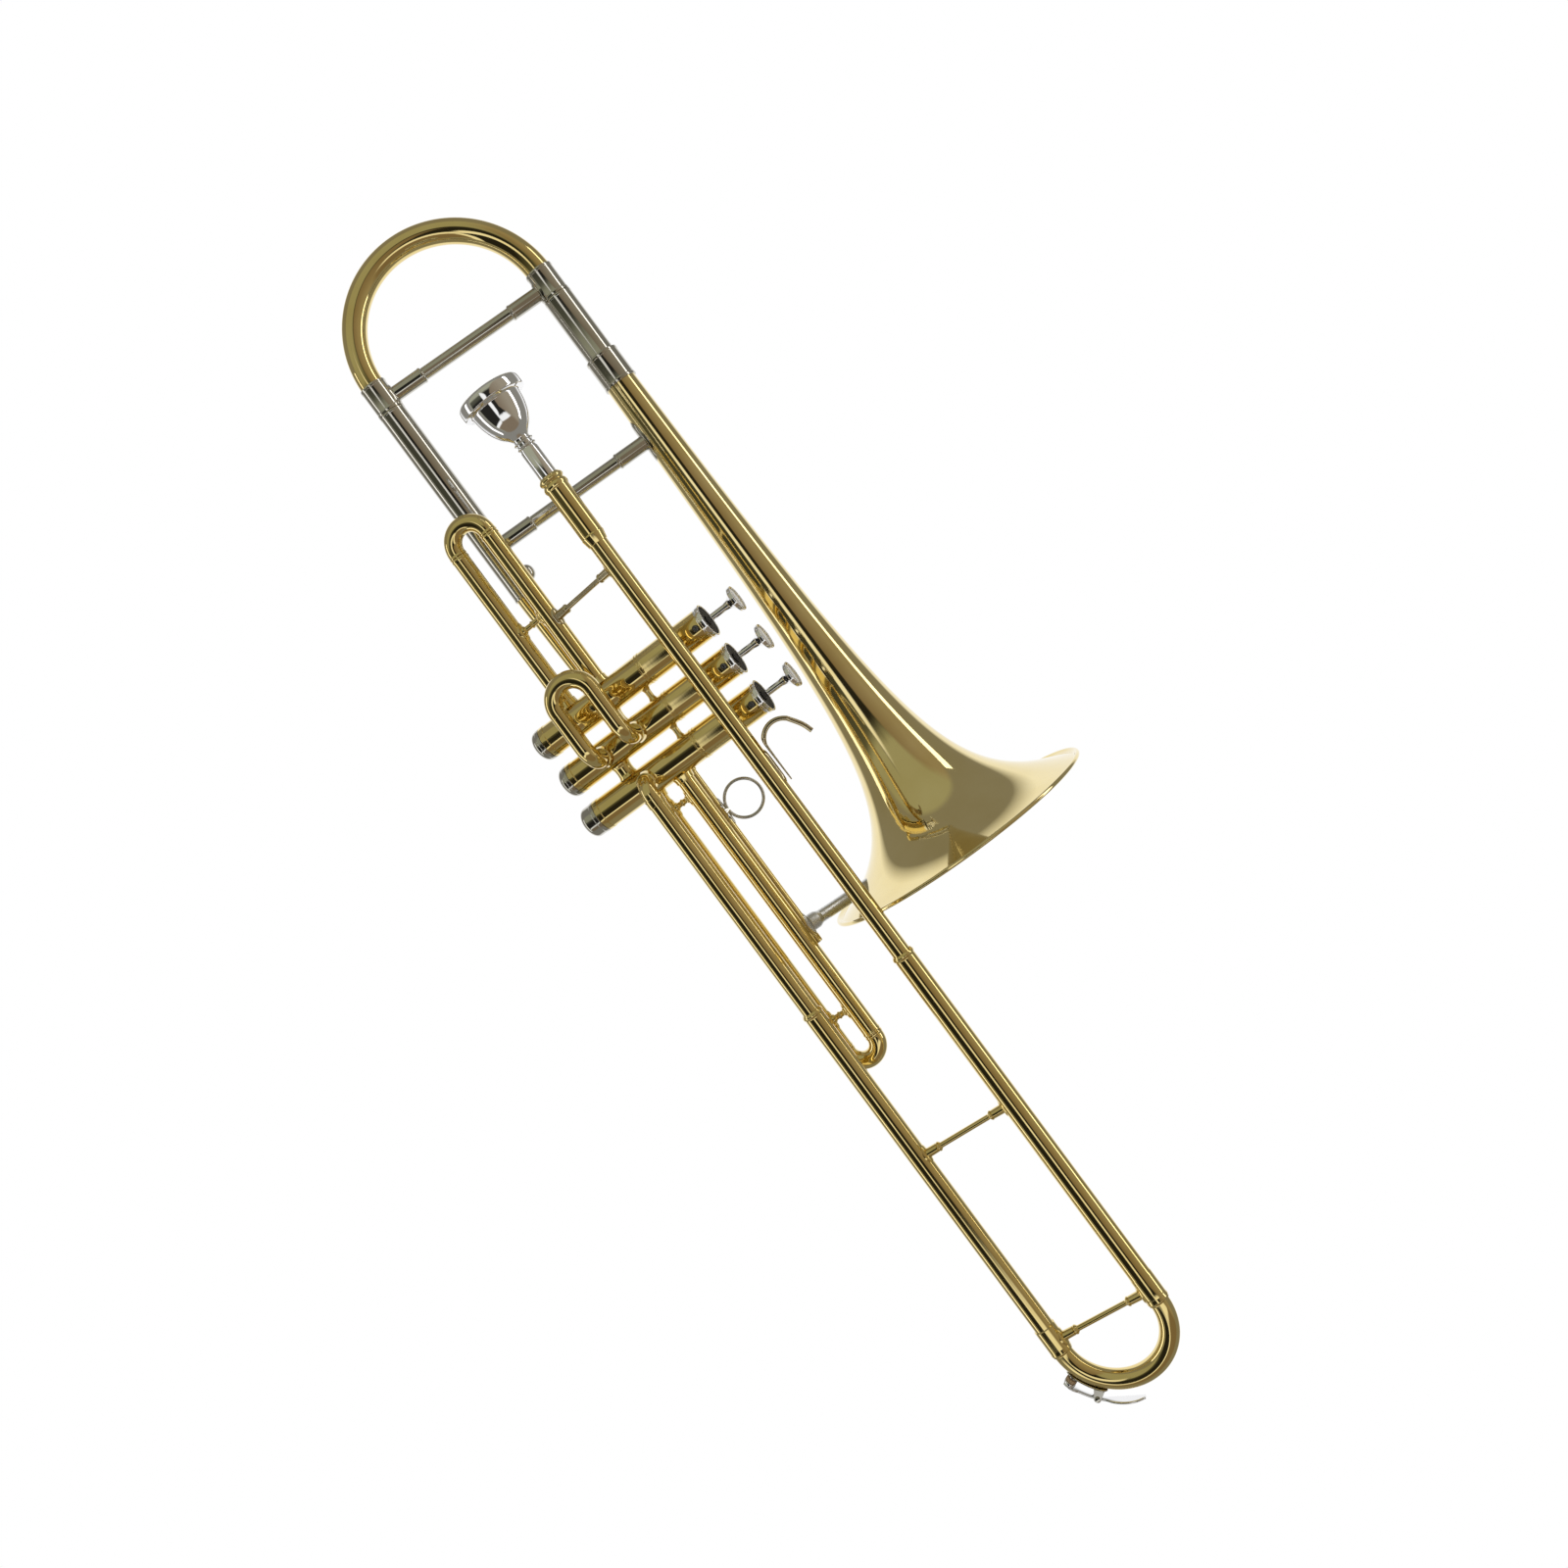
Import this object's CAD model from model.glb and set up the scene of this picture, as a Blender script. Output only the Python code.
"""The look of a tenor valve trombone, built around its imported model.

Shapes are worked out in the drawing's own frame, in millimetres: X along the tubes toward the bell mouth, Y
across toward the bell and Z up, with zero on the plane of the bell. Each piece is made in metres, and HOME
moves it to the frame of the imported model. The camera, the floor and the lamps are in metres.
"""
import math

import bmesh
import bpy
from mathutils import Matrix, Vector


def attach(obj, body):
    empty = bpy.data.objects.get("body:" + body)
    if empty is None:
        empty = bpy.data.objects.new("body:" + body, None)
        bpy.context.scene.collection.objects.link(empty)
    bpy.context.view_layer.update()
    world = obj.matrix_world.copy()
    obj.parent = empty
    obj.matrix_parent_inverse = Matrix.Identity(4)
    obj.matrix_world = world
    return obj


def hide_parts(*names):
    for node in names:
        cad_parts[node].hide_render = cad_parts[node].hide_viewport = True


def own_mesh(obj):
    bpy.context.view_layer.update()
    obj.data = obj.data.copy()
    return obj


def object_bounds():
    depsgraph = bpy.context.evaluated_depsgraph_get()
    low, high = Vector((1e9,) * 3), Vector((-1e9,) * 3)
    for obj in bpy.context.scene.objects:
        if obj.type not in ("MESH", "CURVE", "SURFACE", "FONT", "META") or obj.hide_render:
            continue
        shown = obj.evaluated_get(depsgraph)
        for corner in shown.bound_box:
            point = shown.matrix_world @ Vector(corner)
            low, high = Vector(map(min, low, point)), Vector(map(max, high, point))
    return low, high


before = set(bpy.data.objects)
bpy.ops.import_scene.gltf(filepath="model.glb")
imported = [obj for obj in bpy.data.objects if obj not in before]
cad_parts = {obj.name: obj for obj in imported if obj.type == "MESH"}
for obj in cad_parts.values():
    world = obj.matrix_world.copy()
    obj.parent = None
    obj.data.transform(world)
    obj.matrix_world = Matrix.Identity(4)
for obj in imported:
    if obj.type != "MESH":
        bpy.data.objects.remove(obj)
CAD_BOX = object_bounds()

MM = 0.001

# Bell
BELL_Y = 74.1
BELL_RIM_X = 154.7
BELL_LENGTH = 388.6
BELL_RIM_RADIUS = 101.5
BELL_THROAT_RADIUS = 7.2
BELL_FLARE_LENGTH = 39.0
BELL_FLARE_POWER = 1.32
BELL_WALL = 0.8
BELL_BEAD_RADIUS = 1.5

# Valves
VALVE_LEAN = math.radians(15.0)
VALVE_FIRST_X = -63.6
VALVE_PITCH = 30.25
VALVE_Y = -73.0
VALVE_Z = 40.0
CASING_RADIUS = 11.0
CASING_BORE = 9.5
CASING_TOP = 97.0
CASING_BOTTOM = -38.0
CASING_JOINT = 46.9
TOP_CAP_RADIUS = 12.0
TOP_CAP_TOP = 100.5
BOTTOM_CAP_DEPTHS = (9.0, 9.0, 13.5)
PISTON_TOP = 90.0
SPRING_ALONG = (55.65, 87.6)
SPRING_COIL_RADIUS = 6.6
SPRING_WIRE_RADIUS = 0.6
SPRING_TURNS = 4
GUIDE_SCREW_ALONG = 92.5
STEM_RADIUS = 2.5
BUTTON_RADIUS = 9.2
BUTTON_TOP = 124.6
PEARL_RADIUS = 7.3
BRIDGE_ALONG = 38.5
BRIDGE_RADIUS = 2.2
KNUCKLE_ALONG = (9.8, -6.6)
GRIP_ALONG = 60.0

# Valve slides
VALVE_TUBE_RADIUS = 6.1
VALVE_LEG_RADIUS = 5.2
FIRST_PORTS = (15.3, -11.4)
FIRST_END_X = -197.0
FIRST_BRACE_X = -132.0
SECOND_PORTS = (18.5, -10.0)
SECOND_STANDOFF = 30.0
SECOND_ELBOW = 12.0
SECOND_END_X = -70.5
THIRD_PORTS = (23.4, 1.1)
THIRD_END_X = 218.0
THIRD_BRACES_X = (22.0, 196.5)
LEGS_INSIDE = (75.0, 20.0, 90.0)
SHORT_BRACE_RADIUS = 2.0

# Support tube, finger ring, bell stay and finger hook
SUPPORT_ALONG = 27.5
SUPPORT_BEHIND = 8.8
SUPPORT_RADIUS = 3.0
SUPPORT_END_X = 150.0
RING_X = 43.6
RING_RADIUS = 13.0
RING_WIRE = 1.1
RING_SEAT_LENGTH = 22.0
BELL_STAY_X = 136.5
BELL_STAY_LEAN = 8.0
BELL_STAY_RADIUS = 4.4
BELL_STAY_FOOT = 5.8
HOOK_HALF_WIDTH = 4.9
HOOK_THICKNESS = 3.4
HOOK_SEAT_X = (50.0, 24.0)
HOOK_RADIUS = 12.5

# Lead pipe, return tube and front slide
LEAD_ALONG = 78.6
LEAD_STANDOFF = 25.5
LEAD_RADIUS = 6.3
RECEIVER_START_X = -195.9
RECEIVER_END_X = -143.0
RECEIVER_RADIUS = 7.9
RETURN_ALONG = 4.8
RETURN_STANDOFF = 21.0
RETURN_RADIUS = 5.9
RETURN_ELBOW = 9.5
FRONT_SLEEVE_X = 180.0
FRONT_LEG_INSIDE = 100.0
FRONT_FERRULE_X = 434.0
FRONT_BOW_X = 454.5
FRONT_BOW_RADIUS = 6.6
FRONT_BRACES_X = (298.5, 446.0)
LEAD_STAY_X = -125.5
SLEEVE_STEP = 0.9
MOUTHPIECE_RIM_X = -262.8
MOUTHPIECE_RIM_RADIUS = 22.8
MOUTHPIECE_CUP_RADIUS = 12.9
MOUTHPIECE_SHANK = 6.3
MOUTHPIECE_INSERT = 24.0

# Tuning slide and gooseneck
GOOSENECK_ALONG = 1.8
GOOSENECK_BEHIND = 28.4
GOOSENECK_ELBOW = 15.0
GOOSENECK_END_RADIUS = 6.6
TUNING_UPPER_RADIUS = 9.2
TUNING_LOWER_RADIUS = 8.5
TUNING_BOW_X = -328.4
TUNING_SLEEVE_X = -308.0
TUNING_UPPER_END_X = -257.5
TUNING_LOWER_END_X = -153.0
TUNING_FERRULE = 22.3
TUNING_LEG_INSIDE = 58.0
TUNING_BRACE_X = -317.0
STOUT_RADIUS = 4.6
STOUT_END_RADIUS = 5.5
STOUT_END = 23.0
BELL_BRACE_X = -191.5
BOSS_X = -165.8
BOSS_RADIUS = 6.0
BOSS_HEIGHT = 5.0

# Water key, as angles around the front bow
KEY_PIVOT = math.radians(44.0)
KEY_CORK = math.radians(66.0)
KEY_TIP = math.radians(10.0)
KEY_OVERHANG = math.radians(7.0)
KEY_STANDOFF = 13.6
KEY_WIDTH = 7.0
KEY_THICKNESS = 1.6
KEY_PIN_RADIUS = 1.0
KEY_HUB_RADIUS = 2.3
KEY_EAR = 1.2
KEY_CORK_RADIUS = 3.6
KEY_CORK_HEIGHT = 2.2
KEY_NIPPLE_RADIUS = 2.6
KEY_NIPPLE_HEIGHT = 2.6
GAP = 0.3

# Camera: height above the plane of the bell, lens and shift of its square picture, and turn of that picture
CAMERA_HEIGHT = 1.1
CAMERA_LENS = 36.72
CAMERA_SHIFT = (0.0298, -0.0402)
CAMERA_TURN = math.radians(53.5)

# White floor: half the width of its white part and of the whole, how far below the object, and its centre
FLOOR_WHITE = 1.96
FLOOR_HALF_WIDTH = 3.0
FLOOR_DROP = 2.0
FLOOR_CENTRE = (0.157, 0.0)

FINE = 128
ROUND = 72
SMALL = 40
ALONG_X = Vector((1.0, 0.0, 0.0))
ALONG_Y = Vector((0.0, 1.0, 0.0))
ALONG_Z = Vector((0.0, 0.0, 1.0))
VALVE_AXIS = Vector((0.0, math.cos(VALVE_LEAN), math.sin(VALVE_LEAN)))
VALVE_FRONT = Vector((0.0, -math.sin(VALVE_LEAN), math.cos(VALVE_LEAN)))


def on_valve(index, along, front=0.0, side=0.0):
    base = Vector((VALVE_FIRST_X + index * VALVE_PITCH + side, VALVE_Y, VALVE_Z))
    return base + VALVE_AXIS * along + VALVE_FRONT * front


def at_x(point, x):
    return Vector((x, point[1], point[2]))


HOME = on_valve(1, GRIP_ALONG) * -MM
BELL_LINE = Vector((0.0, BELL_Y, 0.0))
LEAD_LINE = on_valve(0, LEAD_ALONG, LEAD_STANDOFF)
RETURN_LINE = on_valve(2, RETURN_ALONG, RETURN_STANDOFF)
GOOSENECK_LINE = on_valve(0, GOOSENECK_ALONG, -GOOSENECK_BEHIND)
SUPPORT_LINE = on_valve(2, SUPPORT_ALONG, -SUPPORT_BEHIND)
BOW_CENTRE = at_x((LEAD_LINE + RETURN_LINE) / 2.0, FRONT_BOW_X)
BOW_REACH = (at_x(LEAD_LINE, 0.0) - at_x(RETURN_LINE, 0.0)).length / 2.0
BOW_DOWN = (at_x(RETURN_LINE, 0.0) - at_x(LEAD_LINE, 0.0)).normalized()
BOW_NORMAL = ALONG_X.cross(BOW_DOWN)


# Materials

def add_noise(tree, scale, detail, squeeze=(1.0, 1.0, 1.0)):
    """A noise over the object's own coordinates, in metres."""
    place = tree.nodes.new("ShaderNodeTexCoord")
    stretch = tree.nodes.new("ShaderNodeMapping")
    stretch.inputs["Scale"].default_value = squeeze
    noise = tree.nodes.new("ShaderNodeTexNoise")
    noise.inputs["Scale"].default_value = scale
    noise.inputs["Detail"].default_value = detail
    tree.links.new(place.outputs["Object"], stretch.inputs["Vector"])
    tree.links.new(stretch.outputs["Vector"], noise.inputs["Vector"])
    return noise.outputs["Fac"]


def add_ramp(tree, factor, stops):
    ramp = tree.nodes.new("ShaderNodeValToRGB")
    points = ramp.color_ramp.elements
    while len(points) < len(stops):
        points.new(0.5)
    for point, (place, colour) in zip(points, stops):
        point.position = place
        point.color = (*colour, 1.0)
    tree.links.new(factor, ramp.inputs["Fac"])
    return ramp.outputs["Color"]


def add_range(tree, factor, low, high, start=0.3, end=0.7):
    spread = tree.nodes.new("ShaderNodeMapRange")
    spread.inputs["From Min"].default_value = start
    spread.inputs["From Max"].default_value = end
    spread.inputs["To Min"].default_value = low
    spread.inputs["To Max"].default_value = high
    tree.links.new(factor, spread.inputs["Value"])
    return spread.outputs["Result"]


def new_material(name, **values):
    """A material, its node tree and its shader, with these values on the shader's sockets."""
    made = bpy.data.materials.new(name)
    made.use_nodes = True
    shader = made.node_tree.nodes["Principled BSDF"]
    for socket, value in values.items():
        shader.inputs[socket.replace("_", " ")].default_value = value
    return made, made.node_tree, shader


def add_relief(tree, shader, height, strength, distance):
    bump = tree.nodes.new("ShaderNodeBump")
    bump.inputs["Strength"].default_value = strength
    bump.inputs["Distance"].default_value = distance
    tree.links.new(height, bump.inputs["Height"])
    tree.links.new(bump.outputs["Normal"], shader.inputs["Normal"])


def polished_metal(name, light, dark, roughness, coat, grain=(1.0, 1.0, 1.0), relief=0.02):
    """Plated or lacquered metal: cloudy colour, smudges in the gloss and faint polishing lines."""
    made, tree, shader = new_material(name, Metallic=1.0, Coat_Weight=coat, Coat_Roughness=0.04)
    clouds = add_noise(tree, 28.0, 4.0)
    tree.links.new(add_ramp(tree, clouds, [(0.3, dark), (0.7, light)]), shader.inputs["Base Color"])
    smudges = add_noise(tree, 55.0, 6.0)
    tree.links.new(add_range(tree, smudges, roughness * 0.6, roughness * 1.5), shader.inputs["Roughness"])
    add_relief(tree, shader, add_noise(tree, 900.0, 2.0, grain), relief, 0.0004)
    return made


def soft_surface(name, light, dark, roughness, scale, relief, coat=0.0, sheen=0.0):
    """Felt, cork or pearl: speckled colour with a rough or pearly relief."""
    made, tree, shader = new_material(name, Coat_Weight=coat, Sheen_Weight=sheen)
    speckle = add_noise(tree, scale, 5.0)
    tree.links.new(add_ramp(tree, speckle, [(0.35, dark), (0.65, light)]), shader.inputs["Base Color"])
    tree.links.new(add_range(tree, speckle, roughness * 0.8, roughness), shader.inputs["Roughness"])
    add_relief(tree, shader, speckle, relief, 0.0003)
    return made


ALONG_GRAIN = (0.03, 1.0, 1.0)
GOLD = polished_metal("gold_lacquer", (0.85, 0.69, 0.31), (0.77, 0.60, 0.23), 0.06, 0.35, ALONG_GRAIN, 0.01)
BELL_GOLD = polished_metal("bell_gold_lacquer", (0.87, 0.73, 0.37), (0.80, 0.65, 0.29), 0.05, 0.35,
                           ALONG_GRAIN, 0.01)
BRONZE = polished_metal("worn_brass", (0.68, 0.60, 0.40), (0.54, 0.46, 0.29), 0.14, 0.1)
GREY = polished_metal("satin_nickel", (0.80, 0.80, 0.78), (0.70, 0.70, 0.68), 0.38, 0.0)
NICKEL = polished_metal("nickel_silver", (0.63, 0.61, 0.55), (0.53, 0.51, 0.45), 0.09, 0.15,
                        ALONG_GRAIN, 0.01)
SILVER = polished_metal("silver_plate", (0.92, 0.92, 0.93), (0.84, 0.84, 0.85), 0.05, 0.2, relief=0.01)
DARK_STEEL = polished_metal("dark_steel", (0.20, 0.20, 0.20), (0.08, 0.08, 0.08), 0.30, 0.0)
STEEL = polished_metal("spring_steel", (0.55, 0.55, 0.56), (0.42, 0.42, 0.43), 0.25, 0.0)
FELT = soft_surface("black_felt", (0.030, 0.030, 0.032), (0.008, 0.008, 0.009), 0.95, 2500.0, 0.7, sheen=0.3)
CORK = soft_surface("cork", (0.68, 0.50, 0.32), (0.42, 0.28, 0.16), 0.9, 1500.0, 0.6)
PEARL = soft_surface("pearl", (0.93, 0.92, 0.89), (0.80, 0.80, 0.80), 0.25, 260.0, 0.05, coat=0.8)


# Shapes: each function adds to a bmesh, in the drawing's frame

def facing(direction):
    return Vector(direction).to_track_quat("Z", "Y").to_matrix()


def stitch(shape, rings, closed=False):
    """Join rings of vertices with faces; a ring of one vertex is a point."""
    pairs = list(zip(rings, rings[1:]))
    if closed:
        pairs.append((rings[-1], rings[0]))
    for a, b in pairs:
        count = max(len(a), len(b))
        for k in range(count):
            corners = [a[k % len(a)], a[(k + 1) % len(a)], b[(k + 1) % len(b)], b[k % len(b)]]
            face = [corner for i, corner in enumerate(corners) if corner not in corners[:i]]
            if len(face) > 2:
                shape.faces.new(face)


def soften(profile, size, steps=3, closed=False):
    """Round the sharp corners of a (radius, height) line."""
    points = [Vector(point) for point in profile]
    count = len(points)
    line = []
    for i, point in enumerate(points):
        inside = closed or 0 < i < count - 1
        before = points[(i - 1) % count] - point
        after = points[(i + 1) % count] - point
        if not inside or point.x == 0.0 or before.angle(after, 0.0) > math.radians(165.0):
            line.append(tuple(point))
            continue
        reach = min(size, before.length * 0.4, after.length * 0.4)
        a = point + before.normalized() * reach
        b = point + after.normalized() * reach
        for k in range(steps + 1):
            t = k / steps
            line.append(tuple(a * (1.0 - t) ** 2 + point * 2.0 * t * (1.0 - t) + b * t * t))
    return line


def smooth_line(points, steps):
    """A smooth curve through points of any dimension."""
    points = [Vector(point) for point in points]
    padded = [points[0] * 2.0 - points[1]] + points + [points[-1] * 2.0 - points[-2]]
    line = []
    for a, b, c, d in zip(padded, padded[1:], padded[2:], padded[3:]):
        for k in range(steps):
            t = k / steps
            line.append(0.5 * (2.0 * b + (c - a) * t + (2.0 * a - 5.0 * b + 4.0 * c - d) * t * t
                               + (3.0 * b - a - 3.0 * c + d) * t * t * t))
    line.append(points[-1])
    return [tuple(point) for point in line]


def add_turned(shape, profile, start, along=ALONG_X, sides=ROUND, closed=True):
    """Turn a (radius, height) profile about a line."""
    turn = facing(along)
    rings = []
    for radius, height in profile:
        if radius < 0.01:
            rings.append([shape.verts.new(start + turn @ Vector((0.0, 0.0, height)))])
            continue
        ring = []
        for k in range(sides):
            angle = 2.0 * math.pi * k / sides
            ring.append(shape.verts.new(start + turn @ Vector((radius * math.cos(angle),
                                                               radius * math.sin(angle), height))))
        rings.append(ring)
    stitch(shape, rings, closed and len(rings[0]) > 1 and len(rings[-1]) > 1)


def add_swept(shape, points, radii, sides=SMALL):
    """A round bar along points, with closed ends."""
    points = [Vector(point) for point in points]
    count = len(points)
    tangents = []
    for i in range(count):
        tangents.append((points[min(i + 1, count - 1)] - points[max(i - 1, 0)]).normalized())
    side = tangents[0].orthogonal().normalized()
    rings = [[shape.verts.new(points[0])]]
    for point, tangent, radius in zip(points, tangents, radii):
        side = (side - tangent * side.dot(tangent)).normalized()
        other = tangent.cross(side)
        ring = []
        for k in range(sides):
            angle = 2.0 * math.pi * k / sides
            ring.append(shape.verts.new(point + (side * math.cos(angle) + other * math.sin(angle)) * radius))
        rings.append(ring)
    rings.append([shape.verts.new(points[-1])])
    stitch(shape, rings)


def boxy(value, power):
    """A sine or cosine raised to a power with its sign kept, for rounds that are fuller or more pointed."""
    return math.copysign(abs(value) ** power, value)


def add_saddle(shape, line, x, radius, toward, half_length, half_angle, rise, rounds=6, sides=32, point=1.0):
    """An oval plate that hugs a tube along X, thickest in the middle; point under 1 draws its ends out."""
    up = (Vector(toward) - ALONG_X * Vector(toward).x).normalized()
    across = ALONG_X.cross(up)
    centre = at_x(line, x)
    for outer in (True, False):
        rings = []
        for j in range(rounds + 1):
            reach = j / rounds
            lift = rise * math.sqrt(max(0.0, 1.0 - reach ** 4)) if outer else -0.3
            if j == 0:
                rings.append([shape.verts.new(centre + up * (radius + lift))])
                continue
            ring = []
            for k in range(sides):
                angle = 2.0 * math.pi * k / sides
                along = half_length * reach * boxy(math.cos(angle), 1.0 / point)
                turn = half_angle * reach * boxy(math.sin(angle), 1.0 / point)
                out = up * math.cos(turn) + across * math.sin(turn)
                ring.append(shape.verts.new(centre + ALONG_X * along + out * (radius + lift)))
            rings.append(ring)
        stitch(shape, rings)


def add_plate(shape, outline, origin, x_axis, y_axis, thickness, rounding=0.2):
    """A flat outline cut from sheet, with eased edges, centred on its own plane."""
    normal = Vector(x_axis).cross(y_axis).normalized()
    centre = sum((Vector(point) for point in outline), Vector((0.0, 0.0))) / len(outline)
    levels = [(-0.5, 1.0), (-0.5 + rounding / thickness, 0.0), (0.5 - rounding / thickness, 0.0), (0.5, 1.0)]
    rings = []
    for level, inset in levels:
        ring = []
        for point in outline:
            flat = Vector(point)
            if inset:
                flat = flat + (centre - flat).normalized() * rounding
            place = origin + x_axis * flat.x + y_axis * flat.y + normal * thickness * level
            ring.append(shape.verts.new(place))
        rings.append(ring)
    stitch(shape, rings)
    shape.faces.new(rings[0])
    shape.faces.new(rings[-1])


def bead(radius, x, width, height, steps=6):
    """The line of a rounded ring on a tube."""
    return [(radius + height * math.sin(math.pi * k / steps), x - width / 2.0 + width * k / steps)
            for k in range(steps + 1)]


def add_collar(shape, start, along, radius, length, rise):
    """A thin sleeve with rounded edges around a tube, from a point along a direction."""
    profile = [(radius - 0.2, 0.0), (radius + rise, 0.0), (radius + rise, length), (radius - 0.2, length)]
    add_turned(shape, soften(profile, 0.35, closed=True), start, along, SMALL)


def show(name, shape, finish, body, nodes, sharp=40.0):
    """Make a piece of the shape, in metres, let it ride on a body and stand for CAD nodes."""
    bmesh.ops.scale(shape, vec=(MM, MM, MM), verts=shape.verts)
    bmesh.ops.remove_doubles(shape, verts=shape.verts, dist=0.0000005)
    bmesh.ops.recalc_face_normals(shape, faces=shape.faces)
    mesh = bpy.data.meshes.new(name)
    shape.to_mesh(mesh)
    shape.free()
    mesh.shade_smooth()
    mesh.set_sharp_from_angle(angle=math.radians(sharp))
    mesh.materials.append(finish)
    piece = bpy.data.objects.new(name, mesh)
    piece.location = HOME
    bpy.context.scene.collection.objects.link(piece)
    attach(piece, body)
    if nodes:
        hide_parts(*nodes)
    return piece


def show_turned(name, profile, ease, line, finish, body, nodes, closed=True, sides=ROUND):
    """A turned piece of its own: ease rounds the profile's corners, and line is a start and a direction."""
    shape = bmesh.new()
    add_turned(shape, soften(profile, ease, closed=closed), *line, sides)
    show(name, shape, finish, body, nodes)


def mirrored(half, length):
    """A (radius, height) line of this length from its lower half."""
    return half + [(radius, length - height) for radius, height in reversed(half)]


def across_tubes(low_line, high_line, x):
    """The start, direction and length of a line from one tube to another."""
    reach = at_x(high_line, x) - at_x(low_line, x)
    return at_x(low_line, x), reach.normalized(), reach.length


def quarter(centre, start, toward, count=20):
    steps = [math.pi / 2.0 * i / count for i in range(count + 1)]
    return [centre + start * math.cos(t) + toward * math.sin(t) for t in steps]


def half_circle(upper, lower, x, outward, count=48):
    upper = at_x(upper, x)
    lower = at_x(lower, x)
    centre = (upper + lower) / 2.0
    arm = upper - centre
    bulge = ALONG_X * outward * arm.length
    steps = [math.pi * i / count for i in range(count + 1)]
    return [centre + arm * math.cos(t) + bulge * math.sin(t) for t in steps]


def elbow(line, start_x, index, radius, inward):
    """A run along X that turns inward to the side of a valve."""
    x = VALVE_FIRST_X + index * VALVE_PITCH
    side = math.copysign(1.0, start_x - x)
    corner = at_x(line, x)
    centre = corner + ALONG_X * side * radius + inward * radius
    turn = quarter(centre, -inward * radius, -ALONG_X * side * radius)
    reach = (on_valve(index, 0.0) - corner).dot(inward) - CASING_RADIUS + 0.5
    return [at_x(line, start_x)] + turn + [corner + inward * reach]


# Bell

def bell_radius(x):
    behind = BELL_RIM_X - x
    fade = (BELL_FLARE_LENGTH / (BELL_FLARE_LENGTH + behind)) ** BELL_FLARE_POWER
    return BELL_THROAT_RADIUS + (BELL_RIM_RADIUS - BELL_THROAT_RADIUS) * fade


BELL_STEM_X = BELL_RIM_X - BELL_LENGTH


def show_bell():
    last = BELL_RIM_X - BELL_BEAD_RADIUS
    count = 90
    places = [last - (last - BELL_STEM_X) * (i / count) ** 2.0 for i in range(count + 1)]
    outer = [(bell_radius(x), x) for x in places if bell_radius(x) < BELL_RIM_RADIUS - 2.2 * BELL_BEAD_RADIUS]
    inner = [(radius - BELL_WALL, x + BELL_WALL * 0.5) for radius, x in outer]
    bead_line = []
    for degrees in range(-150, 151, 20):
        turn = math.radians(-degrees)
        bead_line.append((BELL_RIM_RADIUS - BELL_BEAD_RADIUS * (1.0 - math.cos(turn)),
                          BELL_RIM_X - BELL_BEAD_RADIUS * (1.0 - math.sin(turn))))
    shape = bmesh.new()
    stem = [(bell_radius(BELL_STEM_X), BELL_STEM_X - 10.0),
            (bell_radius(BELL_STEM_X) - BELL_WALL, BELL_STEM_X - 10.0)]
    profile = list(reversed(bead_line)) + outer + stem + list(reversed(inner))
    add_turned(shape, profile, BELL_LINE, sides=FINE)
    show("bell_shell", shape, BELL_GOLD, "root", ["bell", "bell_tail"], 60.0)


# Tuning slide

def show_tuning_sleeves():
    outer = TUNING_UPPER_RADIUS + 1.2
    wide = bell_radius(BELL_STEM_X) + GAP + 0.6
    ease = 0.5
    profile = [(outer - 1.0, TUNING_SLEEVE_X), (outer + 0.2, TUNING_SLEEVE_X),
               (outer + 0.2, TUNING_SLEEVE_X + 1.6), (outer, TUNING_SLEEVE_X + 2.0),
               (outer, TUNING_UPPER_END_X - ease), (wide + 0.3, TUNING_UPPER_END_X),
               (wide + 0.3, TUNING_UPPER_END_X + 2.0), (wide, TUNING_UPPER_END_X + 2.4),
               (wide, BELL_STEM_X - 2.4), (wide + 0.3, BELL_STEM_X - 2.0),
               (wide + 0.3, BELL_STEM_X), (wide - 1.2, BELL_STEM_X),
               (wide - 1.2, BELL_STEM_X - 10.0), (TUNING_UPPER_RADIUS + GAP, BELL_STEM_X - 11.0),
               (TUNING_UPPER_RADIUS + GAP, TUNING_SLEEVE_X)]
    show_turned("upper_sleeve", profile, 0.3, (BELL_LINE, ALONG_X), NICKEL, "root",
                ["tuning_slide_upper_sleeve"])

    outer = TUNING_LOWER_RADIUS + 0.9
    end = TUNING_LOWER_END_X
    profile = [(outer - 0.6, TUNING_SLEEVE_X), (outer + 0.2, TUNING_SLEEVE_X),
               (outer + 0.2, TUNING_SLEEVE_X + 1.6), (outer, TUNING_SLEEVE_X + 2.0),
               (outer, end - 2.0), (outer + 0.2, end - 1.6), (outer + 0.2, end),
               (TUNING_LOWER_RADIUS + GAP, end), (TUNING_LOWER_RADIUS + GAP, TUNING_SLEEVE_X)]
    shape = bmesh.new()
    add_turned(shape, soften(profile, 0.3, closed=True), at_x(GOOSENECK_LINE, 0.0))
    top = outer + BOSS_HEIGHT
    profile = [(0.0, top)]
    for k in range(1, 9):
        turn = math.pi / 2.0 * k / 8.0
        profile.append((BOSS_RADIUS * math.sin(turn), outer + BOSS_HEIGHT * math.cos(turn)))
    profile += [(BOSS_RADIUS, outer - 1.0), (0.0, outer - 1.0)]
    add_turned(shape, profile, at_x(GOOSENECK_LINE, BOSS_X), ALONG_Y, SMALL)
    show("lower_sleeve", shape, NICKEL, "root", ["tuning_slide_lower_sleeve"])


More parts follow.
